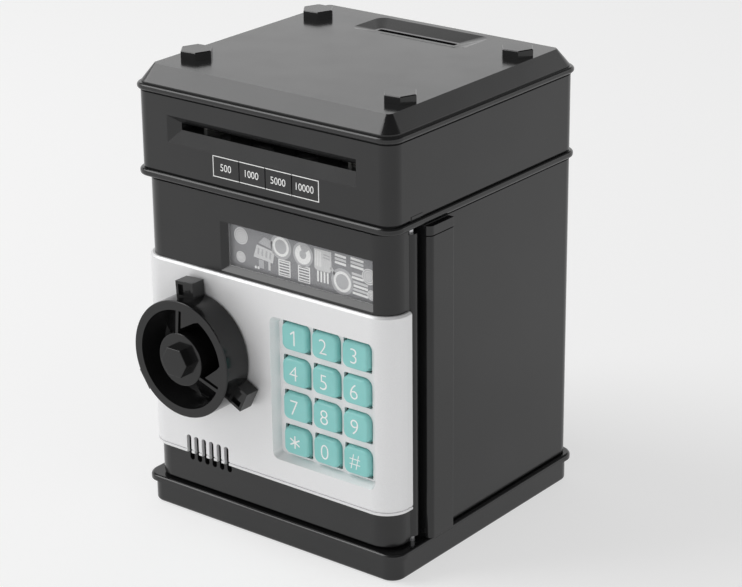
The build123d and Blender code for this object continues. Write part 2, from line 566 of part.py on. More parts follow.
for name, z in (("drive_rollers", DRIVE_Z), ("pinch_rollers", PINCH_Z)):
    with BuildPart() as rollers:
        for x in ROLLER_SPOTS:
            with BuildSketch(facing_side(x - ROLLER_LENGTH / 2)):
                with Locations((FEED_Y, z)):
                    Circle(ROLLER_R)
                    Circle(SHAFT_R, mode=Mode.SUBTRACT)
            extrude(amount=ROLLER_LENGTH)
    rollers.part.label = name
    export_step(rollers.part, f"parts/{name}.step")

# Each gear: name, teeth, centre, bore radius and the direction of one tooth
gear_table = (
    ("drive_gear", DRIVE_TEETH, (FEED_Y, DRIVE_Z), SHAFT_R, IDLER_ANGLE),
    ("idler_gear", IDLER_TEETH, (IDLER_Y, IDLER_Z), SHAFT_R + RUN, MOTOR_ANGLE),
    ("motor_pinion", PINION_TEETH, (MOTOR_Y, MOTOR_Z), 1.0, MOTOR_ANGLE + 180 + 180 / PINION_TEETH),
)
for name, teeth, centre, bore, first_tooth in gear_table:
    pitch_radius = MODULE * teeth / 2
    half_tooth = 3.1416 * MODULE / 4 - BACKLASH
    tip, root = pitch_radius + TOOTH_TIP, pitch_radius - TOOTH_ROOT
    with BuildPart() as gear:
        with BuildSketch(facing_side(GEAR_X)):
            with Locations(centre):
                Circle(root)
                with PolarLocations(0, teeth, start_angle=first_tooth):
                    Polygon(
                        (root - 0.4, -half_tooth - 0.25),
                        (tip, -half_tooth + 0.25),
                        (tip, half_tooth - 0.25),
                        (root - 0.4, half_tooth + 0.25),
                        align=None,
                    )
                Circle(bore, mode=Mode.SUBTRACT)
        extrude(amount=GEAR_T)
    gear.part.label = name
    export_step(gear.part, f"parts/{name}.step")

with BuildPart() as motor_shaft:
    with BuildSketch(facing_side(GEAR_X - 0.4)):
        with Locations((MOTOR_Y, MOTOR_Z)):
            Circle(1.0)
    extrude(amount=MOTOR_FRONT_X + 6 - GEAR_X + 0.4)
motor_shaft.part.label = "motor_shaft"
export_step(motor_shaft.part, "parts/motor_shaft.step")

with BuildPart() as feed_motor:
    with BuildSketch(facing_side(MOTOR_FRONT_X)):
        with Locations((MOTOR_Y, MOTOR_Z)):
            Circle(MOTOR_R)
            Rectangle(4 * MOTOR_R, 2 * MOTOR_FLAT, mode=Mode.INTERSECT)
    extrude(amount=MOTOR_LENGTH)
    with BuildSketch(facing_side(MOTOR_FRONT_X)):
        with Locations((MOTOR_Y, MOTOR_Z)):
            Circle(1.0 + RUN)
    extrude(amount=6.4, mode=Mode.SUBTRACT)
feed_motor.part.label = "feed_motor"
export_step(feed_motor.part, "parts/feed_motor.step")

# =============================================================================================
# Door: frame, silver face plate, display, back cover
# =============================================================================================
grille_middle = (GRILLE_LOW + GRILLE_HIGH) / 2
grille_spots = [(GRILLE_FIRST_X + GRILLE_PITCH * i, grille_middle) for i in range(GRILLE_COUNT)]
cover_screw_spots = [(-56, 18.8), (56, 18.8), (-56, 136.8), (56, 136.8), (-56, 45.0)]
board_screw_spots = [(-1.6, 34.8), (56.2, 34.8), (-1.6, 102.2), (56.2, 102.2)]

with BuildPart() as door_frame:
    # A shallow tray, open to the back, with only its two front corners rounded
    with BuildSketch(Plane.XY.offset(DOOR_LOW)):
        middle_y, depth = span(DOOR_FRONT, DOOR_BACK + 2 * DOOR_R)
        with Locations((0, middle_y)):
            RectangleRounded(2 * DOOR_X, depth, DOOR_R)
        middle_y, depth = span(DOOR_BACK, DOOR_BACK + 3 * DOOR_R)
        with Locations((0, middle_y)):
            Rectangle(2 * DOOR_X + 2, depth, mode=Mode.SUBTRACT)
    extrude(amount=DOOR_HIGH - DOOR_LOW)
    fillet(door_frame.edges().group_by(Axis.Z)[-1].filter_by(lambda e: e.center().Y < DOOR_BACK - 0.5), 0.7)
    fillet(door_frame.edges().group_by(Axis.Z)[0].filter_by(lambda e: e.center().Y < DOOR_BACK - 0.5), 0.7)
    with BuildSketch(Plane.XY.offset(DOOR_LOW + DOOR_T)):
        middle_y, depth = span(DOOR_INNER_FRONT, DOOR_BACK + 2 * DOOR_R)
        with Locations((0, middle_y)):
            RectangleRounded(2 * DOOR_X - 2 * DOOR_T, depth, DOOR_R - DOOR_T)
        middle_y, depth = span(DOOR_BACK, DOOR_BACK + 3 * DOOR_R)
        with Locations((0, middle_y)):
            Rectangle(2 * DOOR_X + 2, depth, mode=Mode.SUBTRACT)
    extrude(amount=DOOR_HIGH - DOOR_LOW - 2 * DOOR_T, mode=Mode.SUBTRACT)
    # Screw bosses for the back cover and for the circuit board
    with BuildSketch(facing_front(COVER_FRONT)):
        with Locations(*cover_screw_spots):
            Circle(2.6)
    extrude(amount=DOOR_INNER_FRONT * -1 + COVER_FRONT + 0.1)
    with BuildSketch(facing_front(-53.2)):
        with Locations(*board_screw_spots):
            Circle(2.1)
    extrude(amount=5.0)
    with BuildSketch(facing_front(COVER_FRONT)):
        with Locations(*cover_screw_spots):
            Circle(1.0)
    extrude(amount=6.0, mode=Mode.SUBTRACT)
    with BuildSketch(facing_front(-53.2)):
        with Locations(*board_screw_spots):
            Circle(0.9)
    extrude(amount=4.0, mode=Mode.SUBTRACT)
    # Openings: display window with its sloped surround, keypad tray, knob bush, speaker slots
    with BuildSketch(facing_front(DOOR_INNER_FRONT)):
        middle_x, width = span(WINDOW_LEFT, WINDOW_RIGHT)
        middle_z, height = span(WINDOW_LOW, WINDOW_HIGH)
        with Locations((middle_x, middle_z)):
            Rectangle(width, height)
    with BuildSketch(facing_front(DOOR_FRONT)):
        middle_x, width = span(RECESS_LEFT, RECESS_RIGHT)
        middle_z, height = span(RECESS_LOW, RECESS_HIGH)
        with Locations((middle_x, middle_z)):
            Rectangle(width, height)
    loft(mode=Mode.SUBTRACT)
    with BuildSketch(facing_front(DOOR_INNER_FRONT + 1)):
        middle_x, width = span(TRAY_LEFT - 1, TRAY_RIGHT + 1)
        middle_z, height = span(TRAY_LOW - 1, TRAY_HIGH + 1)
        with Locations((middle_x, middle_z)):
            Rectangle(width, height)
        with Locations((KNOB_X, KNOB_Z)):
            Circle(4.5)
        with Locations(*grille_spots):
            RectangleRounded(GRILLE_W, GRILLE_HIGH - GRILLE_LOW, GRILLE_W / 2 - 0.01)
    extrude(amount=5.0, mode=Mode.SUBTRACT)
    # Ring that the speaker sits in
    with BuildSketch(facing_front(-54.5)):
        with Locations((SPEAKER_X, SPEAKER_Z)):
            Circle(SPEAKER_R + 1.3)
            Circle(SPEAKER_R + 0.1, mode=Mode.SUBTRACT)
        Rectangle(200, 2 * (DOOR_LOW + DOOR_T), mode=Mode.SUBTRACT)
    extrude(amount=3.7)
    # Hinge barrel on the right rear edge
    barrel_low, barrel_high = DOOR_LOW + 2, DOOR_HIGH - 2
    with BuildSketch(Plane.XY.offset(barrel_low)):
        with Locations((HINGE_X, HINGE_Y)):
            Circle(BARREL_R)
        middle_x, width = span(DOOR_X - DOOR_T, DOOR_X)
        middle_y, depth = span(DOOR_BACK - 1, HINGE_Y)
        with Locations((middle_x, middle_y)):
            Rectangle(width, depth)
    extrude(amount=barrel_high - barrel_low)
    with BuildSketch(Plane.XY.offset(DOOR_LOW)):
        with Locations((HINGE_X, HINGE_Y)):
            Circle(PIN_R + RUN)
    extrude(amount=DOOR_HIGH - DOOR_LOW, mode=Mode.SUBTRACT)
door_frame.part.label = "door_frame"
export_step(door_frame.part, "parts/door_frame.step")

hole_w, hole_h = KEY_W + 2 * KEY_PLAY, KEY_H + 2 * KEY_PLAY
with BuildPart() as door_face_plate:
    with BuildSketch(Plane.XY.offset(PANEL_LOW)):
        middle_y, depth = span(PANEL_FRONT, DOOR_BACK + 3 * DOOR_R)
        with Locations((0, middle_y)):
            RectangleRounded(2 * PANEL_X, depth, PANEL_R)
        middle_y, depth = span(DOOR_BACK - 0.2, DOOR_BACK + 4 * DOOR_R)
        with Locations((0, middle_y)):
            Rectangle(2 * PANEL_X + 2, depth, mode=Mode.SUBTRACT)
    extrude(amount=PANEL_HIGH - PANEL_LOW)
    rim = door_face_plate.edges().group_by(Axis.Z)[-1].filter_by(lambda e: e.center().Y < DOOR_BACK - 0.5)
    chamfer(rim, 0.8)
    rim = door_face_plate.edges().group_by(Axis.Z)[0].filter_by(lambda e: e.center().Y < DOOR_BACK - 0.5)
    fillet(rim, 0.6)
    # Thin lip along the lower edge
    with BuildSketch(Plane.XY.offset(PANEL_LOW + 1.3)):
        middle_y, depth = span(PANEL_FRONT - 1, DOOR_BACK + 3 * DOOR_R)
        with Locations((0, middle_y)):
            RectangleRounded(2 * PANEL_X + 2, depth, PANEL_R + 1)
        middle_y, depth = span(PANEL_FRONT + 0.5, DOOR_BACK + 3 * DOOR_R)
        with Locations((0, middle_y)):
            RectangleRounded(2 * PANEL_X - 1.0, depth, PANEL_R - 0.5, mode=Mode.SUBTRACT)
    extrude(amount=0.6, mode=Mode.SUBTRACT)
    with BuildSketch(Plane.XY.offset(PANEL_LOW - 1)):
        middle_y, depth = span(DOOR_FRONT - PANEL_GAP, DOOR_BACK + 3 * DOOR_R)
        with Locations((0, middle_y)):
            RectangleRounded(2 * DOOR_X + 2 * PANEL_GAP, depth, DOOR_R + PANEL_GAP)
    extrude(amount=PANEL_HIGH - PANEL_LOW + 2, mode=Mode.SUBTRACT)
    # Keypad tray: a block behind the plate, hollowed with sloping walls. Each key's hole is
    # squared off at two corners.
    tray_x, tray_w = span(TRAY_LEFT, TRAY_RIGHT)
    tray_z, tray_h = span(TRAY_LOW, TRAY_HIGH)
    with BuildSketch(facing_front(TRAY_FLOOR + TRAY_FLOOR_T)):
        with Locations((tray_x, tray_z)):
            RectangleRounded(tray_w + 1.6, tray_h + 1.6, 3.0)
    extrude(amount=TRAY_FLOOR + TRAY_FLOOR_T - PANEL_FRONT - 0.6)
    with BuildSketch(facing_front(TRAY_FLOOR)):
        with Locations((tray_x, tray_z)):
            RectangleRounded(tray_w - 2 * TRAY_SLOPE, tray_h - 2 * TRAY_SLOPE, 2.0)
    with BuildSketch(facing_front(PANEL_FRONT)):
        with Locations((tray_x, tray_z)):
            RectangleRounded(tray_w, tray_h, 3.0)
    loft(mode=Mode.SUBTRACT)
    with BuildSketch(facing_front(TRAY_FLOOR + 3)):
        with Locations((tray_x, KEY_MIDDLE_Z)):
            with GridLocations(KEY_PITCH_X, KEY_PITCH_Z, 3, 4):
                RectangleRounded(hole_w, hole_h, KEY_R + KEY_PLAY)
                with Locations((1.5 - hole_w / 2, hole_h / 2 - 1.5), (hole_w / 2 - 1.5, 1.5 - hole_h / 2)):
                    RectangleRounded(3, 3, 0.6)
    extrude(amount=4, mode=Mode.SUBTRACT)
    # Knob bush and speaker slots
    with BuildSketch(facing_front(DOOR_INNER_FRONT)):
        with Locations((KNOB_X, KNOB_Z)):
            Circle(4.5)
        with Locations(*grille_spots):
            RectangleRounded(GRILLE_W, GRILLE_HIGH - GRILLE_LOW, GRILLE_W / 2 - 0.01)
    extrude(amount=6, mode=Mode.SUBTRACT)
door_face_plate.part.label = "door_face_plate"
export_step(door_face_plate.part, "parts/door_face_plate.step")

with BuildPart() as display_lens:
    with BuildSketch(facing_front(DOOR_INNER_FRONT + 1.2)):
        middle_x, width = span(WINDOW_LEFT - 1.5, WINDOW_RIGHT + 0.3)
        middle_z, height = span(WINDOW_LOW - 1.4, WINDOW_HIGH + 1.4)
        with Locations((middle_x, middle_z)):
            Rectangle(width, height)
    extrude(amount=1.2)
    with BuildSketch(facing_front(DOOR_INNER_FRONT)):
        middle_x, width = span(WINDOW_LEFT + 0.1, WINDOW_RIGHT - 0.1)
        middle_z, height = span(WINDOW_LOW + 0.1, WINDOW_HIGH - 0.1)
        with Locations((middle_x, middle_z)):
            Rectangle(width, height)
    extrude(amount=0.6)
display_lens.part.label = "display_lens"
export_step(display_lens.part, "parts/display_lens.step")

with BuildPart() as display_card:
    with BuildSketch(facing_front(DOOR_INNER_FRONT + 2.1)):
        middle_x, width = span(WINDOW_LEFT - 1.5, WINDOW_RIGHT + 1.5)
        middle_z, height = span(WINDOW_LOW - 1.4, WINDOW_HIGH + 1.4)
        with Locations((middle_x, middle_z)):
            Rectangle(width, height)
    extrude(amount=0.5)
display_card.part.label = "display_card"
export_step(display_card.part, "parts/display_card.step")

with BuildPart() as status_leds:
    with BuildSketch(facing_front(-52.6)):
        with Locations((6.0, 118.0), (28.0, 118.0)):
            Circle(1.5)
    extrude(amount=3.0)
status_leds.part.label = "status_leds"
export_step(status_leds.part, "parts/status_leds.step")

with BuildPart() as knob_bush:
    with BuildSketch(facing_front(-57.4)):
        with Locations((KNOB_X, KNOB_Z)):
            Circle(4.5)
    extrude(amount=-57.4 - PANEL_FRONT)
    with BuildSketch(facing_front(PANEL_FRONT)):
        with Locations((KNOB_X, KNOB_Z)):
            Circle(6.0)
    extrude(amount=0.6)
    with BuildSketch(facing_front(-57.4)):
        with Locations((KNOB_X, KNOB_Z)):
            Circle(3.0 + RUN)
    extrude(amount=6, mode=Mode.SUBTRACT)
knob_bush.part.label = "knob_bush"
export_step(knob_bush.part, "parts/knob_bush.step")

with BuildPart() as keypad_membrane:
    with BuildSketch(facing_front(-53.2)):
        with Locations((tray_x, KEY_MIDDLE_Z)):
            RectangleRounded(50, 62, 2)
    extrude(amount=0.8)
    with BuildSketch(facing_front(-53.6)):
        with Locations((tray_x, KEY_MIDDLE_Z)):
            with GridLocations(KEY_PITCH_X, KEY_PITCH_Z, 3, 4):
                Circle(3.2)
    extrude(amount=1.1, taper=25)
keypad_membrane.part.label = "keypad_membrane"
export_step(keypad_membrane.part, "parts/keypad_membrane.step")

with BuildPart() as circuit_board:
    with BuildSketch(facing_front(-51.6)):
        middle_x, width = span(-4.0, 59.6)
        middle_z, height = span(32.4, 104.6)
        with Locations((middle_x, middle_z)):
            Rectangle(width, height)
        with Locations(*board_screw_spots):
            Circle(1.2, mode=Mode.SUBTRACT)
    extrude(amount=1.6)
    # Tongue of the board that carries the two indicator lamps behind the display
    with BuildSketch(facing_front(-51.6)):
        middle_z, height = span(104.0, 122.0)
        with Locations((17.0, middle_z)):
            Rectangle(28, height)
    extrude(amount=1.0)
circuit_board.part.label = "circuit_board"
export_step(circuit_board.part, "parts/circuit_board.step")

with BuildPart() as board_screws:
    with BuildSketch(facing_front(-51.6)):
        with Locations(*board_screw_spots):
            Circle(1.9)
    extrude(amount=-0.9)
    with BuildSketch(facing_front(-51.6)):
        with Locations(*board_screw_spots):
            Circle(0.9)
    extrude(amount=5)
board_screws.part.label = "board_screws"
export_step(board_screws.part, "parts/board_screws.step")

with BuildPart() as speaker:
    with BuildSketch(facing_front(-53.0)):
        with Locations((SPEAKER_X, SPEAKER_Z)):
            Circle(SPEAKER_R)
    extrude(amount=4.6)
    with BuildSketch(facing_front(-57.6)):
        with Locations((SPEAKER_X, SPEAKER_Z)):
            Circle(SPEAKER_R - 1.5)
            Circle(4.0, mode=Mode.SUBTRACT)
    extrude(amount=-1.2, taper=20, mode=Mode.SUBTRACT)
    with BuildSketch(facing_front(-51.2)):
        with Locations((SPEAKER_X, SPEAKER_Z)):
            Circle(8.0)
    extrude(amount=1.8)
speaker.part.label = "speaker"
export_step(speaker.part, "parts/speaker.step")

with BuildPart() as door_back_cover:
    with BuildSketch(facing_front(DOOR_BACK)):
        middle_z, height = span(DOOR_LOW + DOOR_T + 0.1, DOOR_HIGH - DOOR_T - 0.1)
        with Locations((0, middle_z)):
            Rectangle(2 * (DOOR_X - DOOR_T) - 0.2, height)
        with Locations((KNOB_X, KNOB_Z)):
            Circle(3.6, mode=Mode.SUBTRACT)
        with Locations(*cover_screw_spots):
            Circle(1.3, mode=Mode.SUBTRACT)
    extrude(amount=COVER_T)
    with BuildSketch(facing_front(DOOR_BACK)):
        with Locations(*cover_screw_spots):
            Circle(2.4)
    extrude(amount=1.1, mode=Mode.SUBTRACT)
door_back_cover.part.label = "door_back_cover"
export_step(door_back_cover.part, "parts/door_back_cover.step")

with BuildPart() as door_screws:
    with BuildSketch(facing_front(DOOR_BACK - 0.1)):
        with Locations(*cover_screw_spots):
            Circle(2.2)
    extrude(amount=1.0)
    with BuildSketch(facing_front(DOOR_BACK - 0.1)):
        with Locations(*cover_screw_spots):
            Circle(1.0)
    extrude(amount=7.0)
door_screws.part.label = "door_screws"
export_step(door_screws.part, "parts/door_screws.step")

# --- Keys ------------------------------------------------------------------------------------
for index, key_name in enumerate(KEY_NAMES):
    column, row = index % 3, index // 3
    key_x = (TRAY_LEFT + TRAY_RIGHT) / 2 + (column - 1) * KEY_PITCH_X
    key_z = KEY_MIDDLE_Z + (1.5 - row) * KEY_PITCH_Z
    with BuildPart() as key:
        with BuildSketch(facing_front(KEY_FLANGE_BACK)):
            with Locations((key_x, key_z)):
                RectangleRounded(KEY_W + 2 * KEY_FLANGE, KEY_H + 2 * KEY_FLANGE, KEY_FLANGE_R)
        extrude(amount=KEY_FLANGE_BACK - KEY_FLANGE_FRONT)
        with BuildSketch(facing_front(KEY_FLANGE_FRONT)):
            with Locations((key_x, key_z)):
                RectangleRounded(KEY_W, KEY_H, KEY_R)
        extrude(amount=KEY_FLANGE_FRONT - KEY_TOP, taper=KEY_TAPER)
        fillet(key.faces().sort_by(Axis.Y)[0].edges(), KEY_EDGE)
    key.part.label = f"key_{key_name}"
    export_step(key.part, f"parts/key_{key_name}.step")

# =============================================================================================
# Knob, latch and lock
# =============================================================================================
# The groove between ring and hub, less two arms. The arms mirror each other about the line
# halfway between them: each has a strip, a slot and a web towards the other, and a ramp away.
with BuildPart() as knob_groove:
    with BuildSketch(facing_front(KNOB_FRONT)):
        with Locations((KNOB_X, KNOB_Z)):
            Circle(RING_R)
    extrude(amount=-GROOVE_DEPTH, taper=GROOVE_DRAFT)
    with BuildSketch(facing_front(KNOB_FRONT)):
        with Locations((KNOB_X, KNOB_Z)):
            Circle(HUB_R)
    extrude(amount=-GROOVE_DEPTH, mode=Mode.SUBTRACT)
    for side in (1, -1):
        heading = ARM_MIDDLE + side * 60
        with BuildSketch(facing_front(KNOB_FRONT)):
            with Locations((KNOB_X, KNOB_Z)):
                with PolarLocations(0, 1, start_angle=heading):
                    Polygon(
                        (9.0, side * 1.2),
                        (22.0, side * -0.4),
                        (22.0, side * -1.5),
                        (12.7, side * -0.1),
                        (9.0, side * 0.4),
                        align=None,
                    )
                    Polygon(
                        (13.4, side * -1.6),
                        (22.0, side * -2.7),
                        (22.0, side * -13.0),
                        (17.4, side * -11.0),
                        (16.9, side * -8.9),
                        align=None,
                    )
        extrude(amount=-GROOVE_DEPTH, mode=Mode.SUBTRACT)
        # Ramp from the strip's outer edge down to the floor of the groove
        along = radians(heading - side * RAMP_SKEW)
        start = radians(heading)
        foot_x = KNOB_X + RAMP_AT * cos(start) - side * RAMP_OUT * sin(start)
        foot_z = KNOB_Z + RAMP_AT * sin(start) + side * RAMP_OUT * cos(start)
        across = Plane(
            origin=(foot_x, KNOB_FRONT, foot_z),
            x_dir=(-side * sin(along), 0, side * cos(along)),
            z_dir=(cos(along), 0, sin(along)),
        )
        with BuildSketch(across):
            Polygon(
                (-1.0, 0),
                (0, 0),
                (RAMP_LENGTH, -side * GROOVE_DEPTH),
                (-1.0, -side * GROOVE_DEPTH),
                align=None,
            )
        extrude(amount=9, both=True, mode=Mode.SUBTRACT)

with BuildPart() as knob_wheel:
    with BuildSketch(facing_front(KNOB_BACK)):
        with Locations((KNOB_X, KNOB_Z)):
            Circle(KNOB_R)
    extrude(amount=KNOB_BACK - KNOB_FRONT)
    fillet(knob_wheel.edges().group_by(Axis.Y)[0], 0.5)
    # Three lugs on the rim, each with a shallow pocket in its front
    for lug in range(3):
        heading = ARM_MIDDLE + 60 + 120 * lug
        with BuildSketch(facing_front(LUG_BACK)):
            with Locations((KNOB_X, KNOB_Z)):
                with PolarLocations((KNOB_R + LUG_OUT) / 2 - 1, 1, start_angle=heading):
                    Rectangle(LUG_OUT - KNOB_R + 2, 2 * LUG_HALF)
        extrude(amount=LUG_BACK - LUG_FRONT)
        with BuildSketch(facing_front(LUG_FRONT)):
            with Locations((KNOB_X, KNOB_Z)):
                with PolarLocations(KNOB_R + 2.75, 1, start_angle=heading):
                    Rectangle(4.5, 2 * (LUG_HALF - LUG_WALL))
        extrude(amount=-LUG_POCKET, mode=Mode.SUBTRACT)
    add(knob_groove.part, mode=Mode.SUBTRACT)
    with BuildSketch(facing_front(KNOB_FRONT + 2.4)):
        with Locations((KNOB_X, KNOB_Z)):
            Circle(HUB_R)
    extrude(amount=4, mode=Mode.SUBTRACT)
    with BuildSketch(facing_front(KNOB_BACK)):
        with Locations((KNOB_X, KNOB_Z)):
            Circle(3.0)
    extrude(amount=20, mode=Mode.SUBTRACT)
knob_wheel.part.label = "knob_wheel"
export_step(knob_wheel.part, "parts/knob_wheel.step")

with BuildPart() as knob_cap:
    with BuildSketch(facing_front(KNOB_FRONT + 2.4)):
        with Locations((KNOB_X, KNOB_Z)):
            Circle(HUB_R - 0.05)
    extrude(amount=2.6)
    fillet(knob_cap.edges().group_by(Axis.Y)[0], 0.4)
    with BuildSketch(facing_front(KNOB_FRONT)):
        with Locations((KNOB_X, KNOB_Z)):
            RegularPolygon(6.7, 6, rotation=0)
    extrude(amount=4.1)
    fillet(knob_cap.edges().group_by(Axis.Y)[0], 0.35)
    with BuildSketch(facing_front(KNOB_FRONT + 4.4)):
        with Locations((KNOB_X, KNOB_Z)):
            Circle(3.0)
    extrude(amount=2.0)
knob_cap.part.label = "knob_cap"
export_step(knob_cap.part, "parts/knob_cap.step")

with BuildPart() as knob_shaft:
    with BuildSketch(facing_front(TONGUE_BACK + 0.8)):
        with Locations((KNOB_X, KNOB_Z)):
            Circle(3.0)
    extrude(amount=TONGUE_BACK + 0.8 - KNOB_FRONT - 4.4)
knob_shaft.part.label = "knob_shaft"
export_step(knob_shaft.part, "parts/knob_shaft.step")

with BuildPart() as latch_cam:
    with BuildSketch(facing_front(CAM_BACK)):
        with Locations((KNOB_X, KNOB_Z)):
            Circle(CAM_R)
            Circle(3.0, mode=Mode.SUBTRACT)
            with PolarLocations(CAM_R, 2, start_angle=0, angular_range=180):
                Rectangle(2 * NOTCH_DEPTH, NOTCH_W, mode=Mode.SUBTRACT)
    extrude(amount=CAM_BACK - CAM_FRONT)
latch_cam.part.label = "latch_cam"
export_step(latch_cam.part, "parts/latch_cam.step")

with BuildPart() as latch_tongue:
    with BuildSketch(facing_front(TONGUE_BACK)):
        with Locations((KNOB_X, KNOB_Z)):
            Circle(6.0)
        with Locations((KNOB_X, KNOB_Z + TONGUE_REACH / 2)):
            Rectangle(8.0, TONGUE_REACH)
        with Locations((KNOB_X, KNOB_Z)):
            Circle(3.0, mode=Mode.SUBTRACT)
    extrude(amount=TONGUE_BACK - TONGUE_FRONT)
    fillet(latch_tongue.edges().filter_by(Axis.Y).group_by(Axis.Z)[-1], 2.0)
latch_tongue.part.label = "latch_tongue"
export_step(latch_tongue.part, "parts/latch_tongue.step")

solenoid_low, solenoid_high = KNOB_Z + CAM_R + 4.6, 108.5
with BuildPart() as lock_solenoid:
    with BuildSketch(Plane.XY.offset(solenoid_low)):
        middle_y, depth = span(DOOR_INNER_FRONT, -51.0)
        with Locations((KNOB_X, middle_y)):
            Rectangle(12, depth)
            Circle(PLUNGER_R + 0.1, mode=Mode.SUBTRACT)
    extrude(amount=solenoid_high - solenoid_low)
lock_solenoid.part.label = "lock_solenoid"
export_step(lock_solenoid.part, "parts/lock_solenoid.step")

with BuildPart() as lock_plunger:
    with BuildSketch(Plane.XY.offset(KNOB_Z + CAM_R + 0.4)):
        with Locations((KNOB_X, middle_y)):
            Circle(PLUNGER_R)
    extrude(amount=16)
    with BuildSketch(Plane.XY.offset(solenoid_low - 1.2)):
        with Locations((KNOB_X, middle_y)):
            Circle(PLUNGER_R + 0.9)
    extrude(amount=0.8)
lock_plunger.part.label = "lock_plunger"
export_step(lock_plunger.part, "parts/lock_plunger.step")

# =============================================================================================
# Battery box on the back of the door
# =============================================================================================
cell_spots = [(CELL_Y, CELL_Z + CELL_PITCH * row) for row in (-1, 0, 1)]
with BuildPart() as battery_box:
    with BuildSketch(facing_front(BOX_BACK)):
        with Locations((CELL_X, CELL_Z)):
            RectangleRounded(2 * BOX_IN_X + 2 * BOX_T, 2 * BOX_IN_Z + 2 * BOX_T, 1.5)
    extrude(amount=BOX_BACK - DOOR_BACK)
    with BuildSketch(facing_front(BOX_BACK)):
        with Locations((CELL_X, CELL_Z)):
            Rectangle(2 * BOX_IN_X, 2 * BOX_IN_Z)
    extrude(amount=BOX_BACK - DOOR_BACK - BOX_T, mode=Mode.SUBTRACT)
    # Low ribs between the cells
    with BuildSketch(facing_front(DOOR_BACK + 3.2)):
        with Locations((CELL_X, CELL_Z + CELL_PITCH / 2), (CELL_X, CELL_Z - CELL_PITCH / 2)):
            Rectangle(2 * BOX_IN_X, 0.8)
    extrude(amount=2.4)
battery_box.part.label = "battery_box"
export_step(battery_box.part, "parts/battery_box.step")

with BuildPart() as batteries:
    for row, (y, z) in enumerate(cell_spots):
        direction = 1 if row % 2 else -1
        with BuildSketch(facing_side(CELL_X - CELL_L / 2)):
            with Locations((y, z)):
                Circle(CELL_R)
        extrude(amount=CELL_L)
        with BuildSketch(facing_side(CELL_X + direction * CELL_L / 2)):
            with Locations((y, z)):
                Circle(2.7)
        extrude(amount=direction * 1.2)
batteries.part.label = "batteries"
export_step(batteries.part, "parts/batteries.step")

with BuildPart() as battery_contacts:
    for side in (-1, 1):
        with BuildSketch(facing_side(CELL_X + side * BOX_IN_X)):
            for y, z in cell_spots:
                with Locations((y, z)):
                    Rectangle(9, 11)
        extrude(amount=-side * 0.4)
battery_contacts.part.label = "battery_contacts"
export_step(battery_contacts.part, "parts/battery_contacts.step")

with BuildPart() as battery_springs:
    for row, (y, z) in enumerate(cell_spots):
        direction = 1 if row % 2 else -1
        spring_start = CELL_X - direction * (BOX_IN_X - 0.9)
        length = BOX_IN_X - 0.9 - CELL_L / 2 - 0.5
        with BuildLine() as coil_path:
            Helix(
                pitch=length / SPRING_TURNS,
                height=length,
                radius=3.6,
                center=(spring_start, y, z),
                direction=(direction, 0, 0),
            )
        with BuildSketch(Plane(origin=coil_path.line @ 0, z_dir=coil_path.line % 0)):
            Circle(0.35)
        sweep(path=coil_path.line)
battery_springs.part.label = "battery_springs"
export_step(battery_springs.part, "parts/battery_springs.step")

with BuildPart() as battery_cover:
    with BuildSketch(facing_front(BOX_BACK + 1.8)):
        with Locations((CELL_X, CELL_Z)):
            RectangleRounded(2 * BOX_IN_X + 2 * BOX_T, 2 * BOX_IN_Z + 2 * BOX_T, 1.5)
    extrude(amount=1.8)
    fillet(battery_cover.edges().group_by(Axis.Y)[-1], 0.6)
    # Finger ridges
    with BuildSketch(facing_front(BOX_BACK + 2.3)):
        with Locations((CELL_X, CELL_Z)):
            with GridLocations(2.4, 1, 5, 1):
                Rectangle(1.0, 14)
    extrude(amount=0.8)
battery_cover.part.label = "battery_cover"
export_step(battery_cover.part, "parts/battery_cover.step")
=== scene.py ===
"""Looks of the toy cash-machine savings bank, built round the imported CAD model.

Metres, +X to the viewer's right, +Y to the back, +Z up; the door faces -Y.
"""
import json
import math

import bmesh
import bpy
from mathutils import Matrix, Vector


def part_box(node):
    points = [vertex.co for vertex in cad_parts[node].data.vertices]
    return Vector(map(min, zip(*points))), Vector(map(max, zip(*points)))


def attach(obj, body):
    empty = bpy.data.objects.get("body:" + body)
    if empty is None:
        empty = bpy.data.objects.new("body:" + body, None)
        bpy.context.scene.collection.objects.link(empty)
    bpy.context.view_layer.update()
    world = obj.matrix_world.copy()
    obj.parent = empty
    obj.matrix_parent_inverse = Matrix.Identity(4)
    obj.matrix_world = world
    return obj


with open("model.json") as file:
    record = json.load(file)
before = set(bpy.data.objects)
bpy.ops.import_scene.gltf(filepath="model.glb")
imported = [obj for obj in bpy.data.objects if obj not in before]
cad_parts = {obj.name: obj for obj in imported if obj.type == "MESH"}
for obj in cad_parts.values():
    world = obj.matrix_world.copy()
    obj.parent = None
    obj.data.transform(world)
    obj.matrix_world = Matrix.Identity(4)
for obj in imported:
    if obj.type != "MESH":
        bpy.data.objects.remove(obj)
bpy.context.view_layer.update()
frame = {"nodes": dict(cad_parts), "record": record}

MM = 0.001
PRINT_LIFT = 0.03 * MM  # printed ink stands this far off its surface
PRINT_THICK = 0.02 * MM
NUMERAL_H, STROKE = 6.2 * MM, 0.62 * MM  # height and line width of the signs on the keys
WALL_GLOW, CEILING_GLOW, FLOOR_GLOW = 1.08, 0.11, 0.57
WALL_TOP, CEILING_START = 0.40, 0.54  # on the world's Z, 0 at the horizon and 1 overhead
FLOOR_ALBEDO, FLOOR_HALF, FLOOR_DROP = 0.50, 8, 0.0002
SOFTBOX_SIZE, SOFTBOX_POWER = 1.2, 19
BAR_OUT = 0.0001 * MM  # crossing strokes differ in depth by this much for each degree of turn
CAPITAL_SHARE = 0.73  # capital height over type size in the built-in face


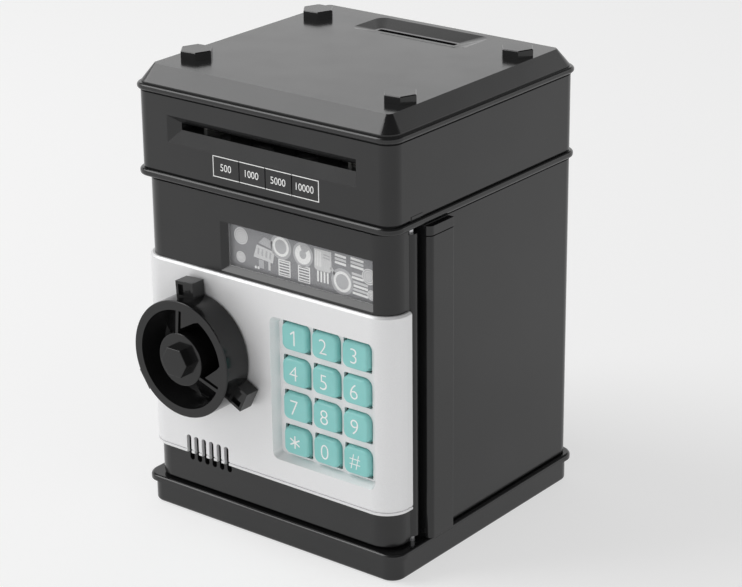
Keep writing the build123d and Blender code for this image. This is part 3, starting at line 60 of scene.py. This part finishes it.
# ---------------------------------------------------------------------------------------------
# Camera, floor and light
# ---------------------------------------------------------------------------------------------
def make_camera():
    """A long lens at the right-front corner, a little above, rolled by half a degree."""
    azimuth, elevation, roll = math.radians(38.18), math.radians(21.40), math.radians(-0.64)
    distance, aside, below, aim_height = 0.9951, 0.0046, -0.0070, 0.095
    right = Vector((math.cos(azimuth), math.sin(azimuth), 0))
    back = Vector((
        math.sin(azimuth) * math.cos(elevation),
        -math.cos(azimuth) * math.cos(elevation),
        math.sin(elevation),
    ))
    up = back.cross(right)
    turned_right = right * math.cos(roll) + up * math.sin(roll)
    turned_up = up * math.cos(roll) - right * math.sin(roll)
    data = bpy.data.cameras.new("camera")
    data.sensor_width = 36
    data.lens = 118.34
    data.clip_start = 0.01
    data.clip_end = 50
    camera = bpy.data.objects.new("camera", data)
    bpy.context.scene.collection.objects.link(camera)
    place = Vector((0, 0, aim_height)) + back * distance + turned_right * aside + turned_up * below
    turn = Matrix((turned_right, turned_up, back)).transposed().to_4x4()
    camera.matrix_world = Matrix.Translation(place) @ turn
    bpy.context.scene.camera = camera


def softbox(place, aim):
    data = bpy.data.lights.new("softbox", "AREA")
    data.shape = "RECTANGLE"
    data.size, data.size_y = SOFTBOX_SIZE, SOFTBOX_SIZE
    data.energy = SOFTBOX_POWER
    light = bpy.data.objects.new("softbox", data)
    bpy.context.scene.collection.objects.link(light)
    light.location = place
    light.rotation_mode = "QUATERNION"
    light.rotation_quaternion = (Vector(aim) - Vector(place)).to_track_quat("-Z", "Y")


def make_studio():
    """White floor, white surroundings to a little above the horizon, dark above, one softbox."""
    scene = bpy.context.scene
    scene.view_settings.view_transform = "Standard"
    world = bpy.data.worlds.new("studio")
    scene.world = world
    world.use_nodes = True
    nodes, links = world.node_tree.nodes, world.node_tree.links
    background = nodes["Background"]
    coords = nodes.new("ShaderNodeTexCoord")
    split = nodes.new("ShaderNodeSeparateXYZ")
    ramp = nodes.new("ShaderNodeValToRGB")
    links.new(coords.outputs["Generated"], split.inputs[0])
    links.new(split.outputs["Z"], ramp.inputs["Fac"])
    links.new(ramp.outputs["Color"], background.inputs["Color"])
    ramp.color_ramp.elements[0].position = WALL_TOP
    ramp.color_ramp.elements[0].color = (WALL_GLOW, WALL_GLOW, WALL_GLOW, 1)
    ramp.color_ramp.elements[1].position = CEILING_START
    ramp.color_ramp.elements[1].color = (CEILING_GLOW, CEILING_GLOW, CEILING_GLOW, 1)
    background.inputs["Strength"].default_value = 1.0
    softbox((-1.15, -0.75, 1.5), (0, 0, 0.1))

    mesh = bpy.data.meshes.new("floor")
    bm = bmesh.new()
    bmesh.ops.create_grid(bm, x_segments=1, y_segments=1, size=FLOOR_HALF)
    bm.to_mesh(mesh)
    bm.free()
    floor = bpy.data.objects.new("floor", mesh)
    bpy.context.scene.collection.objects.link(floor)
    floor.location.z = -FLOOR_DROP
    material, _, shader = new_material("floor_white")
    shader.inputs["Base Color"].default_value = (FLOOR_ALBEDO, FLOOR_ALBEDO, FLOOR_ALBEDO, 1)
    shader.inputs["Roughness"].default_value = 0.9
    shader.inputs["Specular IOR Level"].default_value = 0.0
    shader.inputs["Emission Color"].default_value = (1, 1, 1, 1)
    shader.inputs["Emission Strength"].default_value = FLOOR_GLOW
    mesh.materials.append(material)


# ---------------------------------------------------------------------------------------------
# Materials
# ---------------------------------------------------------------------------------------------
def new_material(name):
    material = bpy.data.materials.new(name)
    material.use_nodes = True
    tree = material.node_tree
    return material, tree, tree.nodes["Principled BSDF"]


def noise(tree, scale, detail=3.0, stretch=(1, 1, 1), seed_shift=0.0):
    """Noise in the object's own space; scale is in features per metre."""
    coords = tree.nodes.new("ShaderNodeTexCoord")
    mapping = tree.nodes.new("ShaderNodeMapping")
    mapping.inputs["Scale"].default_value = stretch
    mapping.inputs["Location"].default_value = (seed_shift, seed_shift, seed_shift)
    texture = tree.nodes.new("ShaderNodeTexNoise")
    texture.inputs["Scale"].default_value = scale
    texture.inputs["Detail"].default_value = detail
    tree.links.new(coords.outputs["Object"], mapping.inputs["Vector"])
    tree.links.new(mapping.outputs["Vector"], texture.inputs["Vector"])
    return texture.outputs["Fac"]


def spread(tree, value, low, high, start=0.3, end=0.7):
    """Maps a noise value on to the stretch from low to high."""
    node = tree.nodes.new("ShaderNodeMapRange")
    node.inputs["From Min"].default_value = start
    node.inputs["From Max"].default_value = end
    node.inputs["To Min"].default_value = low
    node.inputs["To Max"].default_value = high
    tree.links.new(value, node.inputs["Value"])
    return node.outputs["Result"]


def two_tone(tree, value, colour_a, colour_b):
    ramp = tree.nodes.new("ShaderNodeValToRGB")
    ramp.color_ramp.elements[0].position = 0.35
    ramp.color_ramp.elements[1].position = 0.65
    ramp.color_ramp.elements[0].color = (*colour_a, 1)
    ramp.color_ramp.elements[1].color = (*colour_b, 1)
    tree.links.new(value, ramp.inputs["Fac"])
    return ramp.outputs["Color"]


def add_bump(tree, shader, *layers):
    """Each layer is (height, distance in metres, strength)."""
    normal = None
    for height, distance, strength in layers:
        bump = tree.nodes.new("ShaderNodeBump")
        bump.inputs["Distance"].default_value = distance
        bump.inputs["Strength"].default_value = strength
        tree.links.new(height, bump.inputs["Height"])
        if normal is not None:
            tree.links.new(normal, bump.inputs["Normal"])
        normal = bump.outputs["Normal"]
    tree.links.new(normal, shader.inputs["Normal"])


def moulded_plastic(name, colour, roughness, tint=0.12, ripple=0.25, grain=0.0, specular=0.5):
    """Injection-moulded plastic: slow colour drift, slight flow ripple, fine handling marks."""
    material, tree, shader = new_material(name)
    lighter = [min(1.0, c * (1 + tint)) for c in colour]
    darker = [c * (1 - tint) for c in colour]
    tree.links.new(two_tone(tree, noise(tree, 35, 2), darker, lighter), shader.inputs["Base Color"])
    smudges = noise(tree, 60, 5, seed_shift=3.1)
    tree.links.new(
        spread(tree, smudges, roughness * 0.85, roughness * 1.25), shader.inputs["Roughness"])
    shader.inputs["Specular IOR Level"].default_value = specular
    layers = [(noise(tree, 55, 2, seed_shift=7.7), 0.0002, ripple)]
    if grain:
        layers.append((noise(tree, 3200, 2), 0.00006, grain))
    add_bump(tree, shader, *layers)
    return material


def silver_paint():
    """Satin silver paint on plastic: very fine flakes in the colour and the gloss."""
    material, tree, shader = new_material("silver_paint")
    flakes = noise(tree, 5200, 1)
    tree.links.new(
        two_tone(tree, flakes, (0.74, 0.74, 0.745), (0.80, 0.80, 0.805)),
        shader.inputs["Base Color"])
    shader.inputs["Metallic"].default_value = 0.25
    tree.links.new(
        spread(tree, noise(tree, 80, 4, seed_shift=2.0), 0.36, 0.46), shader.inputs["Roughness"])
    ripple = noise(tree, 45, 2, seed_shift=5)
    add_bump(tree, shader, (flakes, 0.00002, 0.25), (ripple, 0.0002, 0.15))
    return material


def key_plastic():
    """Soft turquoise plastic that lets a little light into its edges."""
    material, tree, shader = new_material("key_plastic")
    tree.links.new(
        two_tone(tree, noise(tree, 90, 2), (0.235, 0.57, 0.545), (0.255, 0.60, 0.575)),
        shader.inputs["Base Color"])
    shader.inputs["Subsurface Weight"].default_value = 0.15
    shader.inputs["Subsurface Radius"].default_value = (0.3, 0.8, 0.8)
    shader.inputs["Subsurface Scale"].default_value = 0.0008
    tree.links.new(
        spread(tree, noise(tree, 200, 4, seed_shift=1.0), 0.32, 0.45), shader.inputs["Roughness"])
    add_bump(tree, shader, (noise(tree, 2600, 2), 0.00003, 0.3))
    return material


def clear_plastic():
    material, tree, shader = new_material("clear_plastic")
    shader.inputs["Base Color"].default_value = (0.95, 0.96, 0.97, 1)
    shader.inputs["Alpha"].default_value = 0.08
    tree.links.new(
        spread(tree, noise(tree, 120, 3), 0.06, 0.14), shader.inputs["Roughness"])
    add_bump(tree, shader, (noise(tree, 70, 2), 0.0001, 0.1))
    material.blend_method = "BLEND"
    return material


def metal(name, colour, roughness, brushed=(1, 1, 1), grain=0.2):
    material, tree, shader = new_material(name)
    marks = noise(tree, 900, 3, stretch=brushed)
    darker = [c * 0.86 for c in colour]
    tree.links.new(two_tone(tree, marks, darker, colour), shader.inputs["Base Color"])
    shader.inputs["Metallic"].default_value = 1.0
    tree.links.new(
        spread(tree, marks, roughness * 0.8, roughness * 1.3), shader.inputs["Roughness"])
    add_bump(tree, shader, (marks, 0.00003, grain))
    return material


def flat_ink(name, colour, roughness=0.5):
    """Screen-printed ink: slightly uneven cover."""
    material, tree, shader = new_material(name)
    thinner = [c * 0.93 for c in colour]
    tree.links.new(
        two_tone(tree, noise(tree, 1500, 3), thinner, colour), shader.inputs["Base Color"])
    shader.inputs["Roughness"].default_value = roughness
    add_bump(tree, shader, (noise(tree, 3000, 2), 0.00001, 0.3))
    return material


def circuit_board_green():
    """Green lacquer with copper-coloured tracks showing through in straight runs."""
    material, tree, shader = new_material("circuit_board_green")
    coords = tree.nodes.new("ShaderNodeTexCoord")
    bricks = tree.nodes.new("ShaderNodeTexBrick")
    bricks.inputs["Scale"].default_value = 160
    bricks.inputs["Mortar Size"].default_value = 0.03
    bricks.inputs["Color1"].default_value = (0.012, 0.10, 0.035, 1)
    bricks.inputs["Color2"].default_value = (0.016, 0.13, 0.045, 1)
    bricks.inputs["Mortar"].default_value = (0.05, 0.22, 0.07, 1)
    turn = tree.nodes.new("ShaderNodeMapping")
    turn.inputs["Rotation"].default_value = (math.radians(90), 0, 0)
    tree.links.new(coords.outputs["Object"], turn.inputs["Vector"])
    tree.links.new(turn.outputs["Vector"], bricks.inputs["Vector"])
    tree.links.new(bricks.outputs["Color"], shader.inputs["Base Color"])
    shader.inputs["Roughness"].default_value = 0.3
    add_bump(tree, shader, (bricks.outputs["Fac"], 0.00004, 0.5))
    return material


materials = {
    "case_black": moulded_plastic("case_plastic", (0.0095, 0.0095, 0.0098), 0.17, ripple=0.12),
    "knob_black": moulded_plastic(
        "knob_plastic", (0.007, 0.007, 0.0072), 0.13, ripple=0.08, specular=0.42),
    "silver_panel": silver_paint(),
    "key_turquoise": key_plastic(),
    "clear_window": clear_plastic(),
    "printed_card": flat_ink("card_grey", (0.17, 0.17, 0.18)),
    "steel": metal("plated_steel", (0.62, 0.62, 0.63), 0.3, brushed=(1, 1, 0.1)),
    "rubber": moulded_plastic("soft_rubber", (0.02, 0.02, 0.02), 0.75, grain=0.5, specular=0.3),
    "white_plastic": moulded_plastic("white_acetal", (0.76, 0.76, 0.73), 0.4, tint=0.03),
    "brass": metal("turned_brass", (0.78, 0.58, 0.28), 0.28, brushed=(8, 1, 1)),
    "board_green": circuit_board_green(),
    "speaker_black": moulded_plastic("speaker_black", (0.02, 0.02, 0.021), 0.6, grain=0.4),
    "lamp": moulded_plastic("lamp_lens", (0.55, 0.75, 0.58), 0.25, tint=0.05),
    "cell_wrap": moulded_plastic("cell_wrap", (0.03, 0.05, 0.08), 0.3, tint=0.2),
    "white_ink": flat_ink("white_ink", (0.88, 0.88, 0.87)),
    "light_ink": flat_ink("light_ink", (0.62, 0.62, 0.62)),
    "pale_ink": flat_ink("pale_ink", (0.42, 0.42, 0.43)),
}


def dress_frame():
    """Gives each CAD node its slot's material."""
    for entry in frame["record"]["subparts"]:
        node = frame["nodes"][entry["node"]]
        node.data.materials.clear()
        node.data.materials.append(materials[entry["material_slot"]])


# ---------------------------------------------------------------------------------------------
# Small builders
# ---------------------------------------------------------------------------------------------
def place_piece(name, mesh, material, body):
    mesh.materials.append(materials[material])
    piece = bpy.data.objects.new(name, mesh)
    bpy.context.scene.collection.objects.link(piece)
    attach(piece, body)


def mesh_piece(name, bm, material, body):
    mesh = bpy.data.meshes.new(name)
    bm.to_mesh(mesh)
    bm.free()
    place_piece(name, mesh, material, body)


def add_prism(bm, outline, y_back, thickness):
    """A flat solid facing the viewer, from (x, z) points counter-clockwise from the front."""
    back = [bm.verts.new((x, y_back, z)) for x, z in outline]
    front = [bm.verts.new((x, y_back - thickness, z)) for x, z in outline]
    bm.faces.new(front)
    bm.faces.new(back[::-1])
    count = len(outline)
    for i in range(count):
        j = (i + 1) % count
        bm.faces.new((front[i], back[i], back[j], front[j]))


def box_outline(x_low, x_high, z_low, z_high):
    return [(x_low, z_low), (x_high, z_low), (x_high, z_high), (x_low, z_high)]


def arc_points(x, z, radius, start, end, count):
    return [(x + radius * math.cos(start + (end - start) * i / count),
             z + radius * math.sin(start + (end - start) * i / count)) for i in range(count + 1)]


def add_disc(bm, x, z, radius, y_back, thickness, count=40):
    add_prism(bm, arc_points(x, z, radius, 0, 2 * math.pi, count)[:-1], y_back, thickness)


def add_ring(bm, x, z, outer, inner, y_back, thickness, count=40):
    """A ring as one closed band."""
    loops = []
    y_front = y_back - thickness
    for radius, y in ((outer, y_back), (outer, y_front), (inner, y_front), (inner, y_back)):
        points = arc_points(x, z, radius, 0, 2 * math.pi, count)[:-1]
        loops.append([bm.verts.new((px, y, pz)) for px, pz in points])
    for a in range(4):
        ring_a, ring_b = loops[a], loops[(a + 1) % 4]
        for i in range(count):
            j = (i + 1) % count
            bm.faces.new((ring_a[i], ring_a[j], ring_b[j], ring_b[i]))


def add_frame(bm, x_low, x_high, z_low, z_high, line, y_back, thickness):
    """A rectangular printed outline, as one closed band with mitred corners."""
    loops = []
    y_front = y_back - thickness
    for inset, y in ((0, y_back), (0, y_front), (line, y_front), (line, y_back)):
        corners = box_outline(x_low + inset, x_high - inset, z_low + inset, z_high - inset)
        loops.append([bm.verts.new((x, y, z)) for x, z in corners])
    for a in range(4):
        for i in range(4):
            j = (i + 1) % 4
            ring_a, ring_b = loops[a], loops[(a + 1) % 4]
            bm.faces.new((ring_a[i], ring_a[j], ring_b[j], ring_b[i]))


def lettering(name, text, x, z, y, height, body, squeeze=1.0, weight=0.0):
    """White characters facing the viewer, centred on (x, z), as a thin raised mesh."""
    curve = bpy.data.curves.new(name, "FONT")
    curve.body = text
    curve.align_x = "CENTER"
    curve.align_y = "CENTER"
    curve.size = height / CAPITAL_SHARE
    curve.extrude = PRINT_THICK / 2
    curve.offset = weight
    curve.resolution_u = 6
    holder = bpy.data.objects.new(name + "_outline", curve)
    bpy.context.scene.collection.objects.link(holder)
    bpy.context.view_layer.update()
    mesh = bpy.data.meshes.new_from_object(holder)
    bpy.data.objects.remove(holder)
    low = min(v.co.y for v in mesh.vertices)
    high = max(v.co.y for v in mesh.vertices)
    left = min(v.co.x for v in mesh.vertices)
    right = max(v.co.x for v in mesh.vertices)
    centre = Matrix.Translation((-(left + right) / 2, -(low + high) / 2, 0))
    grow = Matrix.Diagonal((squeeze * height / (high - low), height / (high - low), 1, 1))
    face_viewer = Matrix.Rotation(math.radians(90), 4, "X")
    mesh.transform(Matrix.Translation((x, y - PRINT_LIFT, z)) @ face_viewer @ grow @ centre)
    mesh.materials.clear()
    place_piece(name, mesh, "white_ink", body)


# ---------------------------------------------------------------------------------------------
# Prints
# ---------------------------------------------------------------------------------------------
def add_bar(bm, x, z, length, width, angle, y_back, thickness):
    """A straight printed stroke centred on (x, z)."""
    along = Vector((math.cos(angle), math.sin(angle))) * length / 2
    across = Vector((-math.sin(angle), math.cos(angle))) * width / 2
    corners = (-along - across, along - across, along + across, -along + across)
    add_prism(bm, [(x + c.x, z + c.y) for c in corners], y_back, thickness)


def key_numerals():
    """Thin white signs, a little left of the middle of each key."""
    for name in ["1", "2", "3", "4", "5", "6", "7", "8", "9", "star", "0", "hash"]:
        low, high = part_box(f"key_{name}")
        x, z, y = (low.x + high.x) / 2 - 0.5 * MM, (low.z + high.z) / 2, low.y
        if name in ("1", "star"):
            bm = bmesh.new()
            if name == "star":
                for turn in (30, 90, 150):
                    out = PRINT_LIFT + turn * BAR_OUT
                    add_bar(bm, x, z, 5.4 * MM, STROKE, math.radians(turn), y - out, PRINT_THICK)
            else:
                top = z + NUMERAL_H / 2
                add_prism(bm, [
                    (x + 0.4 * MM, z - NUMERAL_H / 2), (x + 0.4 * MM + STROKE, z - NUMERAL_H / 2),
                    (x + 0.4 * MM + STROKE, top), (x + 0.5 * MM, top),
                    (x - 1.3 * MM, top - 1.4 * MM), (x - 1.0 * MM, top - 1.9 * MM),
                    (x + 0.4 * MM, top - 0.9 * MM)], y - PRINT_LIFT, PRINT_THICK)
            mesh_piece(f"numeral_{name}", bm, "white_ink", f"key_{name}")
        else:
            lettering(
                f"numeral_{name}", "#" if name == "hash" else name, x, z, y,
                NUMERAL_H, f"key_{name}", weight=-0.13 * MM)


def display_art():
    """A plain grey picture card: counters, rings, notes and ladders, all made up."""
    low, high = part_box("display_card")
    y = low.y - PRINT_LIFT
    left, bottom = -18.6 * MM, 113.6 * MM

    def at(x, z):
        return left + x * MM, bottom + z * MM

    pale, light, white = bmesh.new(), bmesh.new(), bmesh.new()
    step = PRINT_THICK * 1.5
    # counters at the left, with milled rings
    for x, z, radius in ((4.6, 12.6, 3.4), (4.3, 3.8, 2.3), (67.8, 9.8, 3.2), (69.0, 2.6, 2.0)):
        cx, cz = at(x, z)
        add_disc(pale, cx, cz, radius * MM, y, PRINT_THICK)
        for share in (1.0, 0.72, 0.44, 0.2):
            rim = radius * share
            add_ring(white, cx, cz, rim * MM, (rim - 0.28) * MM, y - step, PRINT_THICK)
    # rings
    for x, z, outer, inner in ((24.8, 12.4, 4.0, 2.9), (55.0, 4.9, 4.2, 3.1)):
        cx, cz = at(x, z)
        add_disc(pale, cx, cz, (outer + 1.2) * MM, y, PRINT_THICK)
        add_ring(white, cx, cz, outer * MM, inner * MM, y - step, PRINT_THICK)
    # a crescent-shaped dial
    cx, cz = at(35.8, 11.6)
    add_disc(pale, cx, cz, 5.0 * MM, y, PRINT_THICK)
    outline = arc_points(cx, cz, 3.9 * MM, math.radians(110), math.radians(400), 30)
    outline += arc_points(cx, cz, 1.7 * MM, math.radians(400), math.radians(110), 30)
    add_prism(white, outline, y - step, PRINT_THICK)
    # a note lying at a slant, with four plain windows
    cx, cz = at(16.0, 8.0)
    note = [(-5.2, -2.6), (4.6, -3.4), (5.6, 1.4), (-3.4, 2.8)]
    add_prism(light, [(cx + px * MM, cz + pz * MM) for px, pz in note], y, PRINT_THICK)
    for i in range(4):
        add_bar(pale, cx + (-2.6 + i * 2.0) * MM, cz + (0.2 - i * 0.25) * MM, 2.8 * MM, 0.9 * MM,
                math.radians(84), y - step, PRINT_THICK)
    add_prism(pale, [(cx + px * MM, cz + pz * MM) for px, pz in
                     ((-2.6, 3.6), (4.2, 2.4), (4.6, 5.6), (0.4, 6.6))], y, PRINT_THICK)
    # a lamp on a stand below it
    cx, cz = at(14.6, 2.6)
    stand = box_outline(cx - 1.2 * MM, cx + 1.4 * MM, cz - 1.2 * MM, cz + 2.2 * MM)
    add_prism(pale, stand, y, PRINT_THICK)
    for dx in (-2.8, -1.4):
        add_disc(white, cx + dx * MM, cz - 1.4 * MM, 0.6 * MM, y, PRINT_THICK, 16)
    add_bar(light, cx + 4.2 * MM, cz + 0.4 * MM, 3.4 * MM, 1.1 * MM, math.radians(90),
            y, PRINT_THICK)
    # two ladders
    for x, z in ((26.4, 3.9), (36.2, 3.6)):
        cx, cz = at(x, z)
        add_frame(white, cx - 3.0 * MM, cx + 3.0 * MM, cz - 3.4 * MM, cz + 3.4 * MM, 0.5 * MM,
                  y, PRINT_THICK)
        for i in range(5):
            add_bar(white, cx, cz + (i - 2) * 1.15 * MM, 4.9 * MM, 0.5 * MM, 0, y, PRINT_THICK)
    # a ticket with its stub hanging in strips
    cx, cz = at(45.6, 11.2)
    ticket = [(-4.2, -3.4), (-3.0, -4.2), (3.2, -4.2), (4.2, -3.0), (4.2, 4.4), (-4.2, 4.4)]
    add_prism(light, [(cx + px * MM, cz + pz * MM) for px, pz in ticket], y, PRINT_THICK)
    for i in range(4):
        add_bar(white, cx + (-3.4 + i * 0.8) * MM, cz + 0.6 * MM, 6.2 * MM, 0.35 * MM,
                math.radians(90), y - step, PRINT_THICK)
        add_bar(white, cx + (-2.5 + i * 1.6) * MM, cz - 6.6 * MM, 4.4 * MM, 0.85 * MM,
                math.radians(90), y, PRINT_THICK)
    for dz in (2.6, 1.4):
        add_bar(pale, cx + 1.8 * MM, cz + dz * MM, 3.2 * MM, 0.5 * MM, math.radians(-6),
                y - step, PRINT_THICK)
    # stacks of striped blocks at the right
    stacks = ((54.2, 13.6, 5.4, 3), (62.2, 13.8, 6.2, 3), (63.6, 3.8, 7.4, 4), (62.4, 8.6, 5.6, 2))
    for x, z, width, bars in stacks:
        cx, cz = at(x, z)
        for i in range(bars):
            lift = (i - (bars - 1) / 2) * 1.5 * MM
            add_bar(light if i % 2 else white, cx, cz + lift, width * MM, 0.95 * MM,
                    math.radians(-3), y, PRINT_THICK)
    cx, cz = at(50.6, 8.0)
    add_bar(light, cx, cz, 3.6 * MM, 1.1 * MM, math.radians(-55), y, PRINT_THICK)
    mesh_piece("card_print_pale", pale, "pale_ink", "door")
    mesh_piece("card_print_light", light, "light_ink", "door")
    mesh_piece("card_print_white", white, "white_ink", "door")


def denomination_boxes():
    """Four outlined boxes with plain values, printed under the note slot."""
    low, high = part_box("head_housing")
    front = low.y + 1.5 * MM
    box_w, box_low, box_high = 13.1 * MM, low.z + 6.7 * MM, low.z + 15.3 * MM
    right = 28.9 * MM
    bm = bmesh.new()
    for i, value in enumerate(["10000", "5000", "1000", "500"]):
        x_high = right - i * box_w
        add_frame(bm, x_high - box_w, x_high + 0.35 * MM, box_low, box_high, 0.35 * MM,
                  front - PRINT_LIFT, PRINT_THICK)
        lettering(f"value_{value}", value, x_high - box_w / 2, (box_low + box_high) / 2, front,
                  2.9 * MM, "case", squeeze=0.92)
    mesh_piece("value_boxes", bm, "white_ink", "case")


def build():
    dress_frame()
    key_numerals()
    display_art()
    denomination_boxes()


make_camera()
make_studio()
build()
